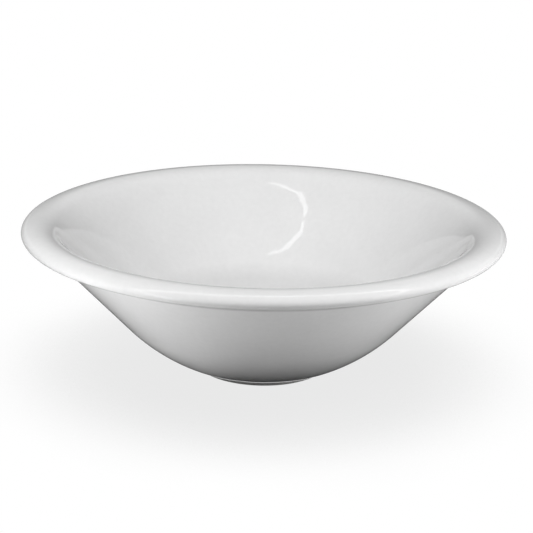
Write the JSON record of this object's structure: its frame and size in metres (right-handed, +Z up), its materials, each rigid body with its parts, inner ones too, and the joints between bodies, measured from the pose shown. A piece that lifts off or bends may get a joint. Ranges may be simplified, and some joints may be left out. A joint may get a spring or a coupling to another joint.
{
  "type": "shaving bowl",
  "caption": "Wide white glazed ceramic shaving bowl with a flaring wall, a thick rolled rim and a low bare foot ring, for working up lather with a brush.",
  "frame": {"origin": "centre of the foot ring's standing face, on the table", "axes": "+Z up along the bowl's axis; the bowl is the same all round, so X and Y are free"},
  "size_m": [0.14, 0.14, 0.0444],
  "materials": {
    "white_glaze": "glossy fused glaze, neutral white",
    "fired_clay": "bare fired clay, fine and matt"
  },
  "bodies": {
    "root": {"bowl_wall": "fired_clay", "rolled_rim": "fired_clay", "foot_ring": "fired_clay", "glaze_coat": "white_glaze", "base_glaze": "white_glaze"}
  },
  "joints": []
}
